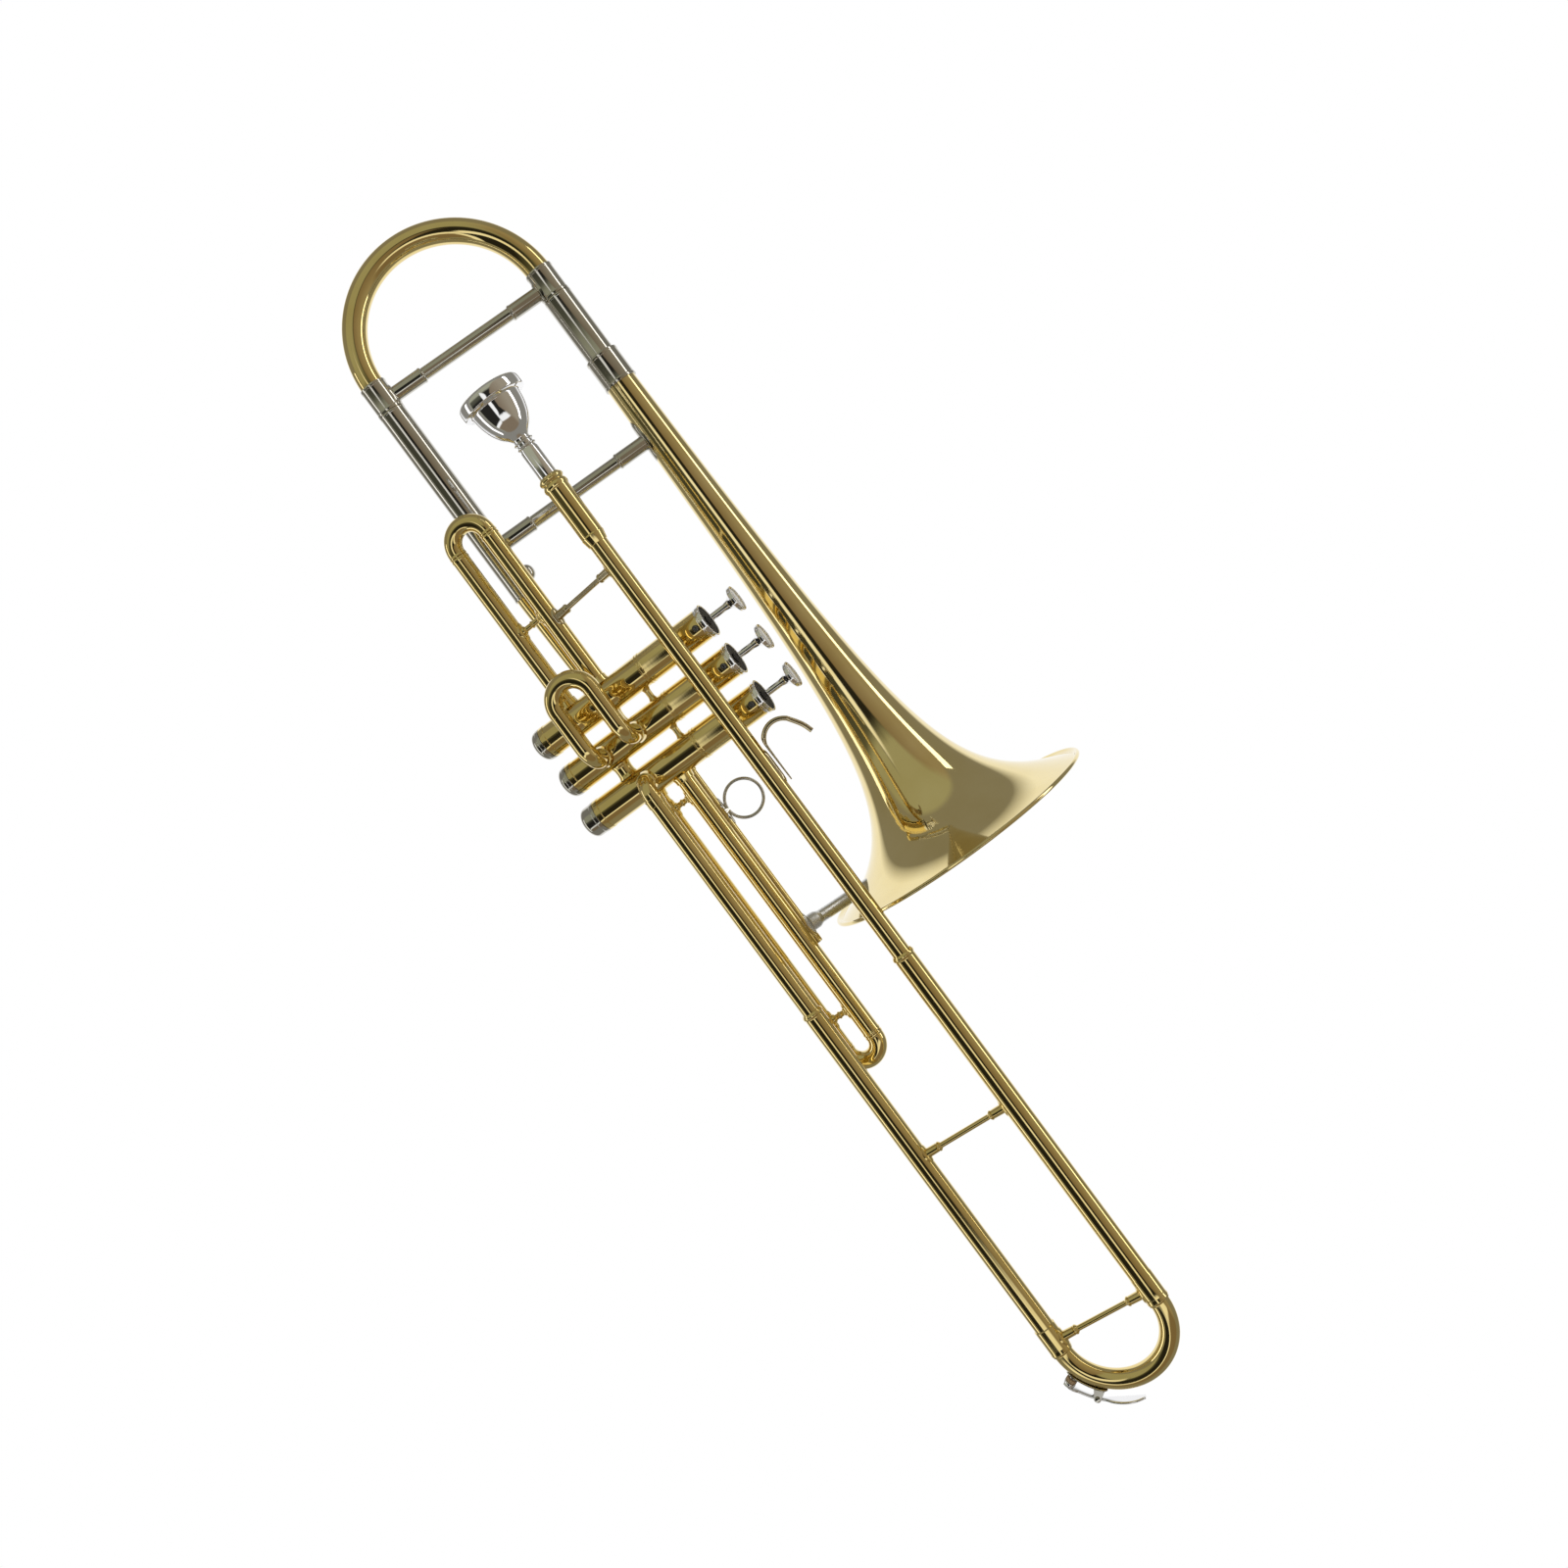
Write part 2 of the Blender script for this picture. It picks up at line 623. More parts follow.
def show_tuning_slide():
    tip = TUNING_SLEEVE_X + TUNING_LEG_INSIDE
    curve = half_circle(BELL_LINE, GOOSENECK_LINE, TUNING_BOW_X, -1.0, 72)
    points = [at_x(BELL_LINE, tip)] + curve + [at_x(GOOSENECK_LINE, tip)]
    step = (TUNING_LOWER_RADIUS - TUNING_UPPER_RADIUS) / (len(curve) - 1)
    radii = [TUNING_UPPER_RADIUS + step * i for i in range(len(curve))]
    radii = [TUNING_UPPER_RADIUS] + radii + [TUNING_LOWER_RADIUS]
    shape = bmesh.new()
    add_swept(shape, points, radii, ROUND)
    show("tuning_bow", shape, GOLD, "tuning_slide", ["tuning_slide_bow"])

    low = TUNING_SLEEVE_X - TUNING_FERRULE
    high = TUNING_SLEEVE_X - GAP
    shape = bmesh.new()
    for line, inner in ((BELL_LINE, TUNING_UPPER_RADIUS), (GOOSENECK_LINE, TUNING_LOWER_RADIUS)):
        outer = inner + 0.9
        profile = [(inner - 0.1, low), (outer + 0.3, low), (outer + 0.3, low + 2.0),
                   (outer, low + 2.4), (outer, high - 2.4), (outer + 0.3, high - 2.0),
                   (outer + 0.3, high), (inner - 0.1, high)]
        add_turned(shape, soften(profile, 0.3, closed=True), at_x(line, 0.0))
    up = add_stout_brace(shape, TUNING_BRACE_X, TUNING_LOWER_RADIUS + 0.9, TUNING_UPPER_RADIUS + 0.9)
    for line, toward, radius in ((GOOSENECK_LINE, up, TUNING_LOWER_RADIUS + 0.9),
                                 (BELL_LINE, -up, TUNING_UPPER_RADIUS + 0.9)):
        add_saddle(shape, line, TUNING_BRACE_X, radius, toward, 8.0, math.radians(48.0), 0.9)
    show("tuning_brace", shape, NICKEL, "tuning_slide", ["tuning_slide_brace"])


def add_stout_brace(shape, x, low_radius, high_radius):
    """A nickel brace: a round bar with a sleeve at each end and a ring where each sleeve stops."""
    start, up, length = across_tubes(GOOSENECK_LINE, BELL_LINE, x)
    low = low_radius - 0.5
    high = length - high_radius + 0.5
    thick = STOUT_END_RADIUS
    thin = STOUT_RADIUS
    a = low_radius + STOUT_END
    b = length - high_radius - STOUT_END
    profile = [(0.0, low), (thick, low), (thick, a - 1.8), (thick + 0.25, a - 1.6),
               (thick + 0.25, a - 0.5), (thick, a), (thin, a + 0.6), (thin, b - 0.6),
               (thick, b), (thick + 0.25, b + 0.5), (thick + 0.25, b + 1.6),
               (thick, b + 1.8), (thick, high), (0.0, high)]
    add_turned(shape, soften(profile, 0.3), start, up, SMALL)
    return up


def show_bell_brace():
    shape = bmesh.new()
    low = TUNING_LOWER_RADIUS + 0.9
    high = bell_radius(BELL_BRACE_X)
    up = add_stout_brace(shape, BELL_BRACE_X, low, high)
    add_saddle(shape, GOOSENECK_LINE, BELL_BRACE_X, low, up, 10.0, math.radians(50.0), 0.9)
    add_saddle(shape, BELL_LINE, BELL_BRACE_X, high, -up, 17.0, math.radians(38.0), 1.0)
    show("bell_brace_form", shape, NICKEL, "root", ["bell_brace"])


def show_gooseneck():
    path = elbow(GOOSENECK_LINE, TUNING_LOWER_END_X - 7.0, 0, GOOSENECK_ELBOW, VALVE_FRONT)
    path.insert(1, at_x(GOOSENECK_LINE, TUNING_LOWER_END_X + 4.0))
    narrow = len(path) - 2
    radii = [TUNING_LOWER_RADIUS] * 2 + [GOOSENECK_END_RADIUS] * narrow
    shape = bmesh.new()
    add_swept(shape, path, radii)
    add_port_collar(shape, 0, GOOSENECK_ALONG, -VALVE_FRONT, GOOSENECK_END_RADIUS)
    show("gooseneck_form", shape, GOLD, "root", ["gooseneck"])


# Valves

def add_port_collar(shape, index, along, direction, radius=VALVE_TUBE_RADIUS):
    """A short sleeve where a tube meets a casing."""
    start = on_valve(index, along) + direction * (CASING_RADIUS - 1.6)
    profile = [(radius - 0.3, 0.0), (radius + 1.6, 0.6), (radius + 0.9, 2.6),
               (radius + 0.7, 5.2), (radius - 0.3, 5.4)]
    add_turned(shape, soften(profile, 0.4, closed=True), start, direction, SMALL)


def show_casing(index, line):
    number = index + 1
    ring = CASING_RADIUS + 0.35
    profile = [(CASING_BORE, CASING_TOP), (CASING_RADIUS, CASING_TOP), (CASING_RADIUS, CASING_TOP - 3.0)]
    for centre in (CASING_JOINT + 1.1, CASING_JOINT - 1.1):
        profile += [(CASING_RADIUS, centre + 0.6), (ring, centre + 0.4), (ring, centre - 0.4),
                    (CASING_RADIUS, centre - 0.6)]
    profile += [(CASING_RADIUS, CASING_BOTTOM + 4.0), (ring, CASING_BOTTOM + 3.6), (ring, CASING_BOTTOM),
                (CASING_BORE, CASING_BOTTOM)]
    show_turned(f"casing_{number}", profile, 0.15, line, GOLD, "root", [f"valve_casing_{number}"])


def show_top_cap(index, line):
    """The cap with its felt, and the screw in the casing below it."""
    number = index + 1
    hole = STEM_RADIUS + 0.8
    floor = CASING_TOP + 1.3
    thread = CASING_RADIUS + 0.1
    wide = TOP_CAP_RADIUS
    seat = CASING_TOP
    profile = [(wide - 1.3, floor), (wide - 1.3, TOP_CAP_TOP), (wide, TOP_CAP_TOP), (wide, seat + 0.6),
               (wide - 0.4, seat + 0.3), (wide - 0.4, seat - 1.0), (thread, seat - 1.0), (thread, seat + GAP),
               (hole, seat + GAP), (hole, floor)]
    show_turned(f"top_cap_{number}_form", profile, 0.35, line, SILVER, "root", [f"top_cap_{number}"])
    profile = [(hole + 0.3, floor), (hole + 0.3, floor + 1.2), (wide - 1.5, floor + 1.2), (wide - 1.5, floor)]
    show_turned(f"felt_{number}", profile, 0.3, line, FELT, "root", [f"cap_felt_{number}"])
    screw = on_valve(index, GUIDE_SCREW_ALONG, CASING_RADIUS - 0.8)
    profile = [(0.0, 1.1), (0.9, 1.1), (1.0, 1.5), (1.9, 1.4), (2.3, 0.9), (2.3, 0.0), (0.0, 0.0)]
    show_turned(f"guide_screw_{number}", profile, 0.2, (screw, VALVE_FRONT), DARK_STEEL, "root", [],
                False, SMALL)


def show_bottom_cap(index, line):
    number = index + 1
    seat = CASING_BOTTOM - GAP
    end = seat - BOTTOM_CAP_DEPTHS[index]
    outer = CASING_RADIUS
    profile = [(0.0, seat), (outer + 0.3, seat), (outer + 0.3, seat - 2.6), (outer, seat - 3.0)]
    for k in range(10):
        turn = math.pi / 2.0 * k / 10.0
        profile.append((outer - 8.4 * (1.0 - math.cos(turn)), end + 5.6 * (1.0 - math.sin(turn))))
    profile += [(2.2, end), (1.8, end + 0.7), (0.0, end + 0.7)]
    show_turned(f"bottom_cap_{number}_form", profile, 0.25, line, NICKEL, "root", [f"bottom_cap_{number}"],
                False)


def show_button(index, line):
    """The finger button on its stem, with its pearl."""
    number = index + 1
    top = BUTTON_TOP
    wide = BUTTON_RADIUS
    recess = top - 1.2
    profile = [(0.0, recess), (PEARL_RADIUS + 0.1, recess), (PEARL_RADIUS + 0.1, top), (wide - 0.2, top),
               (wide, top - 0.7), (wide, top - 2.4)]
    profile += smooth_line([(wide * 0.94, top - 3.1), (wide * 0.62, top - 4.6), (wide * 0.38, top - 6.8),
                            (STEM_RADIUS + 0.2, top - 10.0)], 6)
    profile += [(STEM_RADIUS, top - 10.6), (STEM_RADIUS, PISTON_TOP + GAP), (0.0, PISTON_TOP + GAP)]
    show_turned(f"button_{number}", profile, 0.25, line, SILVER, f"valve_{number}",
                [f"finger_button_{number}"], False)
    profile = [(0.0, top + 0.4), (PEARL_RADIUS * 0.5, top + 0.3), (PEARL_RADIUS * 0.85, top),
               (PEARL_RADIUS, top - 0.5), (PEARL_RADIUS, recess), (0.0, recess)]
    shape = bmesh.new()
    add_turned(shape, profile, *line)
    show(f"pearl_{number}", shape, PEARL, f"valve_{number}", [f"button_pearl_{number}"])


def show_valve(index):
    line = (on_valve(index, 0.0), VALVE_AXIS)
    show_casing(index, line)
    show_top_cap(index, line)
    show_bottom_cap(index, line)
    show_button(index, line)
    show_spring(index)


def show_spring(index):
    """The coil inside a piston, which gets shorter as the piston goes down."""
    number = index + 1
    turn = facing(VALVE_AXIS)
    low, high = SPRING_ALONG
    per_turn = 20
    count = SPRING_TURNS * per_turn
    coil = []
    for k in range(count + 1):
        angle = 2.0 * math.pi * k / per_turn
        around = turn @ Vector((math.cos(angle), math.sin(angle), 0.0))
        coil.append(on_valve(index, low + (high - low) * k / count) + around * SPRING_COIL_RADIUS)
    shape = bmesh.new()
    add_swept(shape, coil, [SPRING_WIRE_RADIUS] * len(coil), 8)
    piece = show(f"spring_{number}", shape, STEEL, "root", [f"valve_spring_{number}"])
    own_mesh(piece)


def show_crossings():
    """The knuckle tubes and the bridges between the casings."""
    length = VALVE_PITCH - 2.0 * (CASING_RADIUS - 1.0)
    middle = length / 2.0
    knuckle = VALVE_TUBE_RADIUS
    bridge = BRIDGE_RADIUS
    for index, along in enumerate(KNUCKLE_ALONG):
        number = index + 1
        line = (on_valve(index, along, side=CASING_RADIUS - 1.0), ALONG_X)
        profile = mirrored([(0.0, 0.0), (knuckle + 1.2, 0.0), (knuckle + 0.2, 2.4)], length)
        profile.insert(3, (knuckle, middle))
        show_turned(f"knuckle_{number}", profile, 0.4, line, GOLD, "root",
                    [f"knuckle_tube_{number}_{number + 1}"], False, SMALL)
        line = (on_valve(index, BRIDGE_ALONG, side=CASING_RADIUS - 1.0), ALONG_X)
        profile = mirrored([(0.0, 0.0), (bridge + 1.4, 0.0), (bridge + 0.3, 2.0), (bridge, 3.0)], length)
        show_turned(f"bridge_{number}", profile, 0.4, line, GOLD, "root",
                    [f"casing_bridge_{number}_{number + 1}"], False, SMALL)


# Valve slides

def add_sleeve(shape, start, end, radius, ring=True):
    """A straight tube with a rounded ring at its open end."""
    reach = end - start
    length = reach.length
    profile = [(radius - 0.7, 0.0), (radius, 0.0), (radius, length - 3.6)]
    if ring:
        profile += bead(radius, length - 1.4, 2.2, 0.3)
    profile += [(radius, length), (radius - 0.7, length)]
    add_turned(shape, profile, start, reach, SMALL)


def add_crook(shape, lines, ring_x, outward, inside, rise=0.25):
    ring = ring_x + outward * GAP
    curve = half_circle(lines[0], lines[1], ring + outward * 2.0, outward)
    leg = VALVE_LEG_RADIUS
    full = VALVE_TUBE_RADIUS
    offsets = [(-outward * inside, leg), (-outward * 0.02, leg), (0.0, full), (outward * 0.2, full + rise),
               (outward * 1.5, full + rise), (outward * 1.8, full)]
    upper = [at_x(lines[0], ring + offset) for offset, _ in offsets]
    lower = [at_x(lines[1], ring + offset) for offset, _ in reversed(offsets)]
    radii = [radius for _, radius in offsets]
    add_swept(shape, upper + curve + lower, radii + [full] * len(curve) + list(reversed(radii)))


def add_short_brace(shape, lines, x):
    """A little turned post between two close tubes, with a plate on each."""
    start, up, length = across_tubes(lines[1], lines[0], x)
    low = VALVE_TUBE_RADIUS - 0.4
    middle = length / 2.0
    thin = SHORT_BRACE_RADIUS
    half = [(0.0, low), (thin + 1.6, low), (thin + 1.0, low + 1.6), (thin, low + 2.4), (thin, middle - 1.0)]
    profile = mirrored(half, length)
    profile.insert(len(half), (thin + 0.8, middle))
    add_turned(shape, soften(profile, 0.4), start, up, SMALL)
    for line, toward in ((lines[1], up), (lines[0], -up)):
        add_saddle(shape, line, x, VALVE_TUBE_RADIUS, toward, 7.0, math.radians(60.0), 0.8, point=0.7)


def show_straight_slide(word, index, heights, end_x, braces_x, inside):
    """The first and third slides: two sleeves straight from the valve, and a crook."""
    outward = math.copysign(1.0, end_x)
    direction = ALONG_X * outward
    lines = [on_valve(index, along) for along in heights]
    shape = bmesh.new()
    for line, along in zip(lines, heights):
        start = line + direction * (CASING_RADIUS - 1.0)
        add_sleeve(shape, start, at_x(line, end_x), VALVE_TUBE_RADIUS)
        add_port_collar(shape, index, along, direction)
    for x in braces_x:
        add_short_brace(shape, lines, x)
    show(f"{word}_sleeves", shape, GOLD, "root", [f"{word}_slide_sleeves"])
    shape = bmesh.new()
    add_crook(shape, lines, end_x, outward, inside)
    show(f"{word}_crook", shape, GOLD, f"{word}_slide", [f"{word}_slide_crook"])


def show_second_slide():
    lines = [on_valve(1, along, SECOND_STANDOFF) for along in SECOND_PORTS]
    for line, along, word in zip(lines, SECOND_PORTS, ("upper", "lower")):
        path = elbow(line, SECOND_END_X, 1, SECOND_ELBOW, -VALVE_FRONT)
        shape = bmesh.new()
        add_swept(shape, path, [VALVE_TUBE_RADIUS] * len(path))
        add_port_collar(shape, 1, along, VALVE_FRONT)
        show(f"second_{word}", shape, GOLD, "root", [f"second_slide_{word}_sleeve"])
    shape = bmesh.new()
    add_crook(shape, lines, SECOND_END_X, -1.0, LEGS_INSIDE[1], 0.0)
    show("second_crook", shape, GOLD, "second_slide", ["second_slide_crook"])


# Support tube, finger ring, bell stay and finger hook

def show_support():
    start = SUPPORT_LINE + ALONG_X * (CASING_RADIUS * 0.55)
    length = SUPPORT_END_X - start.x
    radius = SUPPORT_RADIUS
    profile = [(0.0, 0.0), (radius + 1.2, 0.0), (radius + 0.8, 6.0), (radius, 6.6),
               (radius, length - 6.0), (radius + 0.6, length - 5.6), (radius + 0.6, length),
               (0.0, length + 0.5)]
    show_turned("support", profile, 0.4, (start, ALONG_X), GOLD, "root", ["support_tube"], False,
                SMALL)


def show_finger_ring():
    edge = at_x(SUPPORT_LINE, RING_X) + ALONG_Y * SUPPORT_RADIUS
    centre = edge + ALONG_Y * (GAP + RING_RADIUS + RING_WIRE)
    shape = bmesh.new()
    turns = [2.0 * math.pi * k / 16 for k in range(16)]
    profile = [(RING_RADIUS + RING_WIRE * math.cos(turn), RING_WIRE * math.sin(turn)) for turn in turns]
    add_turned(shape, profile, centre, ALONG_Z, ROUND)
    add_saddle(shape, SUPPORT_LINE, RING_X, SUPPORT_RADIUS, ALONG_Y, RING_SEAT_LENGTH / 2.0,
               math.radians(60.0), 1.0)
    low = SUPPORT_RADIUS - 0.5
    high = SUPPORT_RADIUS + 2.4
    add_turned(shape, [(0.0, low), (3.6, low), (1.4, high), (0.0, high)], at_x(SUPPORT_LINE, RING_X), ALONG_Y,
               SMALL)
    show("finger_ring_form", shape, NICKEL, "root", ["finger_ring"])


def show_bell_stay():
    start = at_x(SUPPORT_LINE, BELL_STAY_X)
    inside = Vector((BELL_STAY_X + BELL_STAY_LEAN, BELL_Y - bell_radius(BELL_STAY_X) * 0.9, 0.0))
    reach = inside - start
    foot = 9.0
    step = reach.normalized() * 0.1
    end = reach.length
    while bell_depth(start + reach.normalized() * end) > 0.0:
        end -= 0.2
    thin = BELL_STAY_RADIUS
    profile = [(0.0, SUPPORT_RADIUS - 1.0), (BELL_STAY_FOOT, SUPPORT_RADIUS - 1.0), (BELL_STAY_FOOT, foot),
               (thin + 0.4, foot + 3.0), (thin, foot + 3.4), (thin, end), (0.0, end)]
    shape = bmesh.new()
    add_turned(shape, soften(profile, 0.4), start, reach, SMALL)
    for vertex in shape.verts:
        if (vertex.co - start).dot(reach.normalized()) > end - 0.5:
            while bell_depth(vertex.co) > 0.45:
                vertex.co -= step
            while bell_depth(vertex.co) < 0.15:
                vertex.co += step
    add_saddle(shape, SUPPORT_LINE, BELL_STAY_X, SUPPORT_RADIUS, reach, 9.0, math.radians(100.0), 0.8)
    show("bell_stay_form", shape, GREY, "root", ["bell_stay"])


def bell_depth(point):
    """How far a point is inside the bell's outer surface, measured across the bell."""
    away = math.hypot(point.y - BELL_Y, point.z)
    return bell_radius(min(point.x, BELL_RIM_X - 1.0)) - away


def show_finger_hook():
    low = LEAD_LINE.y + LEAD_RADIUS + GAP + HOOK_THICKNESS / 2.0
    centre_x = HOOK_SEAT_X[1] + 2.0
    spine = [(HOOK_SEAT_X[0], low), (HOOK_SEAT_X[1] + 8.0, low)]
    for degrees in range(258, 125, -8):
        turn = math.radians(degrees)
        spine.append((centre_x + HOOK_RADIUS * math.cos(turn), low + HOOK_RADIUS * (1.0 + math.sin(turn))))
    spine.append((spine[-1][0] + 8.0, spine[-1][1] + 5.2))
    spine.append((spine[-1][0] + 7.0, spine[-1][1] + 2.6))
    spine = [Vector((x, y, LEAD_LINE.z)) for x, y in smooth_line(spine, 5)]
    shape = bmesh.new()
    rings = []
    count = len(spine)
    for i, point in enumerate(spine):
        tangent = (spine[min(i + 1, count - 1)] - spine[max(i - 1, 0)]).normalized()
        normal = ALONG_Z.cross(tangent)
        fade = min(1.0, 0.4 + 2.5 * i / count, 0.55 + 4.0 * (count - 1 - i) / count)
        level = min(1.0, 0.3 + 3.0 * i / count)
        ring = []
        for k in range(24):
            angle = 2.0 * math.pi * k / 24
            wide = boxy(math.cos(angle), 0.4) * HOOK_HALF_WIDTH * fade
            thick = boxy(math.sin(angle), 0.5) * HOOK_THICKNESS / 2.0
            thick = thick * level - HOOK_THICKNESS / 2.0 * (1.0 - level)
            ring.append(shape.verts.new(point + ALONG_Z * wide + normal * thick))
        rings.append(ring)
    rings.insert(0, [shape.verts.new(spine[0])])
    rings.append([shape.verts.new(spine[-1])])
    stitch(shape, rings)
    seat = (HOOK_SEAT_X[0] + HOOK_SEAT_X[1]) / 2.0
    add_saddle(shape, LEAD_LINE, seat, LEAD_RADIUS, ALONG_Y, 13.0, math.radians(42.0), 1.2)
    show("finger_hook_form", shape, BRONZE, "root", ["finger_hook"])


# Lead pipe, return tube, front slide and mouthpiece

def add_thin_brace(shape, low_line, high_line, x, low_radius, high_radius):
    """A slim turned brace with a plate on each tube."""
    start, up, length = across_tubes(low_line, high_line, x)
    low = low_radius - 0.4
    high = length - high_radius + 0.4
    thin = 1.9
    foot = 11.0
    profile = [(0.0, low), (thin + 1.3, low), (thin + 1.1, low + foot * 0.75)]
    profile += bead(thin + 0.7, low + foot * 0.88, 2.2, 0.7)
    profile += [(thin, low + foot + 0.6), (thin, high - foot - 0.6)]
    profile += bead(thin + 0.7, high - foot * 0.88, 2.2, 0.7)
    profile += [(thin + 1.1, high - foot * 0.75), (thin + 1.3, high), (0.0, high)]
    add_turned(shape, profile, start, up, SMALL)
    for line, toward, radius in ((low_line, up, low_radius), (high_line, -up, high_radius)):
        add_saddle(shape, line, x, radius, toward, 6.5, math.radians(45.0), 0.8)


def show_lead_pipe():
    end = FRONT_SLEEVE_X + FRONT_LEG_INSIDE
    shape = bmesh.new()
    add_swept(shape, [at_x(LEAD_LINE, RECEIVER_END_X - 8.0), at_x(LEAD_LINE, end)], [LEAD_RADIUS] * 2)
    show("lead_pipe_form", shape, GOLD, "root", ["lead_pipe"])

    thick = RECEIVER_RADIUS + 0.6
    start = RECEIVER_START_X
    end = RECEIVER_END_X
    profile = [(MOUTHPIECE_SHANK + GAP, start), (thick - 1.2, start)]
    profile += bead(thick - 1.2, start + 2.4, 4.6, 1.4)
    profile += bead(RECEIVER_RADIUS, start + 7.6, 4.6, 0.8)
    profile += [(RECEIVER_RADIUS, start + 11.0), (RECEIVER_RADIUS, end - 7.0),
                (RECEIVER_RADIUS + 0.3, end - 6.0), (RECEIVER_RADIUS, end - 5.0),
                (LEAD_RADIUS + 0.6, end), (LEAD_RADIUS - 0.2, end), (LEAD_RADIUS - 0.2, end - 6.0),
                (MOUTHPIECE_SHANK + GAP, start + 28.0)]
    line = (at_x(LEAD_LINE, 0.0), ALONG_X)
    show_turned("receiver", profile, 0.3, line, GOLD, "root", ["mouthpiece_receiver"])

    shape = bmesh.new()
    add_thin_brace(shape, on_valve(0, FIRST_PORTS[0]), LEAD_LINE, LEAD_STAY_X, VALVE_TUBE_RADIUS, LEAD_RADIUS)
    show("lead_stay", shape, BRONZE, "root", ["lead_pipe_stay"])


def show_mouthpiece():
    rim = MOUTHPIECE_RIM_RADIUS
    shank = MOUTHPIECE_SHANK
    entry = RECEIVER_START_X - MOUTHPIECE_RIM_X
    tip = entry + MOUTHPIECE_INSERT
    cup = MOUTHPIECE_CUP_RADIUS
    neck = shank - 0.6
    bite = [(cup + 0.2, 1.6), (cup + 1.6, 0.2), (rim * 0.72, 0.0), (rim * 0.88, 0.5),
            (rim * 0.968, 1.9), (rim * 0.995, 3.8), (rim * 0.996, 7.4), (rim * 0.983, 9.2)]
    body = [(rim * 0.79, 11.2), (rim * 0.78, 13.0), (rim * 0.755, 17.0), (rim * 0.705, 21.5),
            (rim * 0.62, 26.5), (rim * 0.48, 31.6), (rim * 0.335, 35.0), (neck, 37.2)]
    profile = smooth_line(bite, 4) + [(rim * 0.95, 9.8), (rim * 0.83, 10.1)] + smooth_line(body, 6)
    for x, high in ((39.8, 1.4), (43.2, 1.1)):
        profile += bead(neck, x, 2.2, high)
    profile += [(neck, 45.0), (shank, 46.4), (shank, entry), (shank - 0.8, tip), (3.4, tip),
                (3.4, 34.0)]
    profile += smooth_line([(3.8, 30.0), (6.0, 24.0), (9.4, 17.0),
                            (12.0, 8.0), (cup, 2.8)], 5)
    shape = bmesh.new()
    add_turned(shape, profile, at_x(LEAD_LINE, MOUTHPIECE_RIM_X), ALONG_X, 96)
    show("mouthpiece_form", shape, SILVER, "mouthpiece", ["mouthpiece"], 50.0)


def show_return_tube():
    path = elbow(RETURN_LINE, FRONT_SLEEVE_X + FRONT_LEG_INSIDE, 2, RETURN_ELBOW, -VALVE_FRONT)
    shape = bmesh.new()
    add_swept(shape, path, [RETURN_RADIUS] * len(path))
    x = VALVE_FIRST_X + 2 * VALVE_PITCH + RETURN_ELBOW
    add_collar(shape, at_x(RETURN_LINE, x + 1.0), ALONG_X, RETURN_RADIUS, 6.0, 0.5)
    add_port_collar(shape, 2, RETURN_ALONG, VALVE_FRONT, RETURN_RADIUS)
    show("return_form", shape, GOLD, "root", ["return_tube"])


def show_front_slide():
    start = FRONT_SLEEVE_X
    ring = FRONT_FERRULE_X
    end = FRONT_BOW_X
    ferrule = FRONT_BOW_RADIUS + SLEEVE_STEP
    for line, inner, word in ((LEAD_LINE, LEAD_RADIUS, "upper"), (RETURN_LINE, RETURN_RADIUS, "lower")):
        outer = inner + SLEEVE_STEP
        profile = [(inner + 0.1, start), (outer - 0.2, start)]
        profile += bead(outer, start + 2.0, 3.0, 0.6)
        profile += [(outer, start + 4.4), (outer, ring), (ferrule, ring + 0.6), (ferrule, end - 4.4)]
        profile += bead(ferrule, end - 1.6, 1.6, 0.25)
        profile += [(ferrule, end), (FRONT_BOW_RADIUS - 0.1, end), (inner + 0.1, end)]
        shape = bmesh.new()
        add_turned(shape, profile, at_x(line, 0.0), ALONG_X, ROUND)
        show(f"front_{word}", shape, GOLD, "front_slide", [f"front_slide_{word}_sleeve"])
    start = FRONT_FERRULE_X + 6.0
    curve = half_circle(LEAD_LINE, RETURN_LINE, FRONT_BOW_X, 1.0, 60)
    path = [at_x(LEAD_LINE, start)] + curve + [at_x(RETURN_LINE, start)]
    shape = bmesh.new()
    add_swept(shape, path, [FRONT_BOW_RADIUS] * len(path), ROUND)
    show("bow_form", shape, GOLD, "front_slide", ["front_bow"])
    for word, x in zip(("rear", "front"), FRONT_BRACES_X):
        at_ferrule = x > FRONT_FERRULE_X
        low = (FRONT_BOW_RADIUS if at_ferrule else RETURN_RADIUS) + SLEEVE_STEP
        high = (FRONT_BOW_RADIUS if at_ferrule else LEAD_RADIUS) + SLEEVE_STEP
        shape = bmesh.new()
        add_thin_brace(shape, RETURN_LINE, LEAD_LINE, x, low, high)
        show(f"{word}_brace", shape, GOLD, "front_slide", [f"front_slide_{word}_brace"])


# Water key

PIVOT_RADIUS = BOW_REACH + KEY_STANDOFF
SEAT_RADIUS = BOW_REACH + FRONT_BOW_RADIUS + GAP
NIPPLE_TOP = SEAT_RADIUS + KEY_NIPPLE_HEIGHT
CUP_RADIUS = NIPPLE_TOP + GAP + KEY_CORK_HEIGHT
LEVER_RADIUS = PIVOT_RADIUS + KEY_HUB_RADIUS * 0.4


def on_bow(angle, radius, across=0.0):
    flat = ALONG_X * radius * math.cos(angle) + BOW_DOWN * radius * math.sin(angle)
    return BOW_CENTRE + flat + BOW_NORMAL * across


def bow_out(angle):
    return ALONG_X * math.cos(angle) + BOW_DOWN * math.sin(angle)


